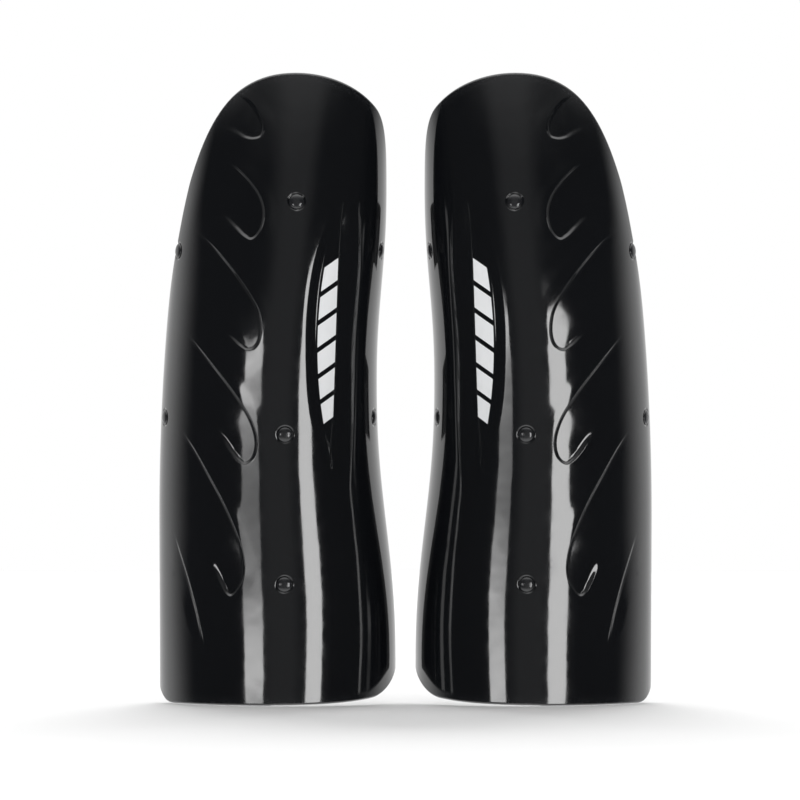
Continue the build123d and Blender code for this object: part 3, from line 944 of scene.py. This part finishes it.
def band_point(height, level, angle, z, lift=0.0):
    """Point behind the guard; angles run from the back's middle to the medial side."""
    middle, half, reach = band_ellipse(height, level)
    turn = math.radians(90 - angle)
    return np.array([middle + (half + lift) * math.cos(turn),
                     hinge_y + (reach + lift) * math.sin(turn), z])


def flank_point(side, height, y, z, lift=0.0):
    """Point of the webbing inside a flank; side is -1 lateral, 1 medial."""
    turn = side * (math.pi / 2 - math.asin(max(-y, 0) / float(form_depth(height)))) * girth
    spot = np.array([turn, z])
    place = form_point(spot, band_inset) + facing(form_point, spot) * lift
    place[1] = y
    return place


def slab_section(corner, flat, count):
    """Round-edged section as (across, out), both from -1 to 1, from one edge round to it."""
    side = [(1.0, 0.0), corner, (0.95, 1.0)]
    rows = [(-v, h) for v, h in side] + [(v, 1.0) for v in np.linspace(-flat, flat, count)]
    rows += side[::-1]
    return rows + [(v, -h) for v, h in reversed(rows[1:-1])]


def webbing(height, side, level, end_angle, waist_run):
    """Flat band from a riveted end inside a flank round behind the guard."""
    turns = 90 - np.concatenate((np.linspace(0, 14, 12), np.linspace(16.5, 150, 55)))
    stations = [(True, float(y)) for y in np.arange(-strap_root_length, 0.01, 1.0)]
    stations += [(False, side * float(a)) for a in turns if a - side * end_angle > 0.6]
    stations.append((False, end_angle))
    spine = np.array([flank_point(side, height, value, height) if in_flank
                      else band_point(height, level, value, height)
                      for in_flank, value in stations])
    section = slab_section((0.985, 0.62), 0.85, 15)
    skew_fade = lateral_skew_fade if side < 0 else medial_skew_fade
    hinge_x = flank_point(side, height, 0.0, height)[0]
    points, plans = [], []
    for (in_flank, value), run in zip(stations, lengths(spine)):
        waist = edge_waist * (1 - ease((run - strap_root_length - 2) / waist_run))
        for v, h in section:
            z = height + v * (strap_width / 2 - waist)
            lift = h * strap_thickness / 2
            if in_flank:
                place = flank_point(side, height, value, z, lift)
            else:
                place = band_point(height, level, value, z, lift)
                if value * side > 0:
                    tilt = flank_point(side, height, 0.0, z)[0] - hinge_x
                    place[0] += tilt * (1 - ease((place[1] - hinge_y) / skew_fade))
            points.append(place)
            plans.append((run, v * strap_width / 2 + (100 if h < 0 else 0)))
    return np.array(points), capped_tube(0, len(stations), len(section)), np.array(plans)


def patch_mesh(height, level, angles, low, high):
    """Sewn-on patch on a band: a thin slab with rounded edges."""
    half = strap_width / 2 - patch_inset
    middle, thick = (low + high) / 2, (high - low) / 2
    section = slab_section((0.98, 0.7), 0.8, 9)
    turns = np.linspace(*angles, 34)
    runs = lengths(np.array([band_point(height, level, angle, height) for angle in turns]))
    thins = [0.25] + [1.0] * (len(turns) - 2) + [0.25]
    points, plans = [], []
    for angle, run, thin in zip(turns, runs, thins):
        for v, h in section:
            points.append(band_point(height, level, angle, height + v * half,
                                     middle + h * thick * thin))
            plans.append((run, v * half))
    return np.array(points), capped_tube(0, len(turns), len(section)), np.array(plans)


def box_stitch(height, level, angles, lift):
    """Stitch path round a patch, with its outward normals."""
    half = strap_width / 2 - patch_inset - stitch_inset
    low, high = angles
    turns = np.linspace(low, high, 40)
    rim = [(a, -half) for a in turns] + [(high, z) for z in np.linspace(-half, half, 20)[1:]]
    rim += [(a, half) for a in turns[::-1][1:]]
    rim += [(low, z) for z in np.linspace(half, -half, 20)[1:-1]]
    path = np.array([band_point(height, level, a, height + z, lift) for a, z in rim])
    out = np.array([band_point(height, level, a, height + z, lift + 1) for a, z in rim]) - path
    return path, out / np.linalg.norm(out, axis=1, keepdims=True) * (1 if lift > 0 else -1)


def elastic_pattern(plan):
    """Lengthways ribs of covered rubber, crossed by fine picks."""
    run, across = plan.part(0), plan.part(1)
    return wave(across, 1.9) * 0.65 + wave(run, 0.9) * wave(across, 1.9) * 0.35


def basket_pattern(plan):
    """Plain basket weave of heavy yarn."""
    run, across = plan.part(0), plan.part(1)
    return wave(run + wave(across, 2.4) * 0.6, 1.2) * 0.5 + wave(across, 1.2) * 0.5


def hook_pattern(plan):
    """Rows of moulded hooks."""
    return (wave(plan.part(0), 1.1) * wave(plan.part(1), 1.4)).rise(0.35, 0.7)


def loop_pattern(plan):
    """Napped loops."""
    return plan.noise(plan, 1.7, 6.0)


elastic_finish = cloth("elastic_ribbed", elastic_pattern, (0.006, 0.006, 0.007),
                       (0.035, 0.035, 0.038), 0.6, 0.3, 0.15)
webbing_finish = cloth("webbing_basket", basket_pattern, (0.007, 0.007, 0.008),
                       (0.04, 0.04, 0.043), 0.55, 0.3, 0.1)
hook_finish = cloth("hook_tape_moulded", hook_pattern, (0.012, 0.012, 0.012),
                    (0.06, 0.06, 0.06), 0.4, 0.5, 0.0)
loop_finish = cloth("loop_tape_napped", loop_pattern, (0.012, 0.012, 0.013),
                    (0.055, 0.055, 0.058), 0.85, 0.5, 0.5)
half_thick = strap_thickness / 2
for place, height in strap_heights.items():
    strap = webbing(height, -1, 0.0, strap_end_angle, strap_waist_run)
    tab = webbing(height, 1, tab_step, tab_end_angle, tab_waist_run)
    hook = patch_mesh(height, 0.0, hook_angles, -half_thick - hook_thickness, -half_thick)
    loop = patch_mesh(height, tab_step, loop_angles, half_thick, half_thick + loop_thickness)
    strap_seam = box_stitch(height, 0.0, hook_angles, half_thick)
    tab_seam = box_stitch(height, tab_step, loop_angles, -half_thick)
    bend = band_point(height, 0.0, -90.0, height)
    for side, hand in hands:
        guard, band = side + "_guard", f"{side}_{place}_band"
        start, end = (stand(bend + [0, y, 0], hand) for y in (blend_start, blend_end))
        piece = welded(make_piece(f"{side}_{place}_strap_elastic", *strap[:2], hand,
                                  elastic_finish, plan=strap[2]))
        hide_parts(f"{side}_{place}_strap_root", f"{side}_{place}_strap")
        tuple(start)
        tuple(end)
        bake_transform(piece)
        for name, mesh, finish, node, slot, body in (
                ("tab_webbing", tab, webbing_finish, "tab", "tab_webbing", guard),
                ("hook_tape", hook, hook_finish, "hook_patch", "hook_tape", band),
                ("loop_tape", loop, loop_finish, "loop_patch", "loop_tape", guard)):
            piece = welded(make_piece(f"{side}_{place}_{name}", *mesh[:2], hand, finish,
                                      plan=mesh[2]))
            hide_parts(f"{side}_{place}_{node}")
            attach(piece, body)
        for name, (path, out), slot, body in (("strap_seam", strap_seam, "strap_elastic", band),
                                              ("tab_seam", tab_seam, "tab_webbing", guard)):
            points, faces = stitch_row(path, out)
            piece = make_piece(f"{side}_{place}_{name}", points, faces, hand, thread_finish,
                               plan=points[:, [0, 2]])
            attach(piece, body)

# --- Studio ------------------------------------------------------------------------------
# Plain pale floor in white surroundings, under a soft overhead sun. Two softboxes stand in
# front, each a stack of lit panels, and a long lens looks square at the guards' fronts.
view_distance, view_width, view_height = 5.0, 0.4465, 0.1695
view_centre_x, view_elevation = -0.0031, 0.6
floor_radius, floor_drop = 2.5, 0.0003
sensor_width = 36

floor_mesh = bpy.data.meshes.new("floor")
rim = [(x * floor_radius, y * floor_radius, -floor_drop) for x, y in circle(96).tolist()]
floor_mesh.from_pydata(rim, [], [list(range(96))])
floor = bpy.data.objects.new("floor", floor_mesh)
bpy.context.scene.collection.objects.link(floor)
floor.visible_glossy = floor.visible_shadow = False
floor_paint, wire, shader = finish_of("floor_matt_white", {"Roughness": 0.9})
grain = wire.node("TexNoise", inputs={"Scale": 40.0, "Detail": 2.0})
feed(shader, Base_Color=grain.mixed((0.70, 0.70, 0.70, 1), (0.72, 0.72, 0.72, 1)))
floor_mesh.materials.append(floor_paint)

world = bpy.data.worlds.new("studio")
bpy.context.scene.world = world
world.use_nodes = True
sky = Wire(world.node_tree)
direction = sky.node("TexCoord")
across, ahead, up = (direction.part(i) for i in range(3))
front = (across.size() * -1).rise(-0.42, -0.12) * (ahead * -1).rise(0.0, 0.4)
overhead = up.rise(0.2, 0.8) * 0.5 + up.rise(0.5, 0.9) * 1.3
floor_glow = (up * -1).rise(0.35, 0.8) * 1.2
mirrored = 0.025 + front * 0.16 + ahead.rise(-0.12, 0.62) * 0.75 + overhead + floor_glow
seen, glossy = sky.node("LightPath"), sky.node("LightPath", output=3)
strength = glossy * mirrored + (1 - glossy) * (seen + (1 - seen) * 0.9)
background = world.node_tree.nodes["Background"]
background.inputs["Color"].default_value = (1, 1, 1, 1)
world.node_tree.links.new(strength.socket, background.inputs["Strength"])

# Each softbox is a stack of lit panels: (x, radiant watts per square metre, downwards).
panel_width, panel_height, panel_top, panel_y = 0.36, 0.0388, 0.14, -1.15
softboxes = {"strip_right": (0.60, [22.4] * 16),
             "strip_left": (-0.60, [0, 0, 0, 13, 21, 18, 12, 8, 5.5, 4.5, 4])}
for name, (panel_x, glows) in softboxes.items():
    for row, glow in enumerate(glows):
        lamp = bpy.data.lights.new(name, "AREA")
        lamp.shape, lamp.size, lamp.size_y = "RECTANGLE", panel_width, panel_height
        lamp.energy = glow * panel_width * panel_height
        panel = bpy.data.objects.new(name, lamp)
        bpy.context.scene.collection.objects.link(panel)
        panel.location = (panel_x, panel_y, panel_top - (row + 0.5) * panel_height)
        panel.rotation_euler = Vector((-panel_x, -panel_y, 0)).to_track_quat("-Z", "Y").to_euler()
        panel.visible_camera = panel.visible_diffuse = False

ceiling = bpy.data.lights.new("ceiling_bounce", "SUN")
ceiling.energy, ceiling.angle = 3.4, math.radians(45)
ceiling_light = bpy.data.objects.new("ceiling_bounce", ceiling)
bpy.context.scene.collection.objects.link(ceiling_light)
ceiling_light.rotation_euler = Vector((0, -0.8, -0.6)).to_track_quat("-Z", "Y").to_euler()
ceiling_light.visible_glossy = False

camera = bpy.data.objects.new("camera", bpy.data.cameras.new("camera"))
bpy.context.scene.collection.objects.link(camera)
tilt = math.radians(view_elevation)
camera.location = (view_centre_x, -view_distance * math.cos(tilt),
                   view_height + view_distance * math.sin(tilt))
camera.rotation_euler = (math.pi / 2 - tilt, 0, 0)
camera.data.sensor_width = sensor_width
camera.data.lens = sensor_width * view_distance / view_width
camera.data.clip_end = 50
bpy.context.scene.camera = camera
bpy.context.scene.view_settings.view_transform = "Standard"
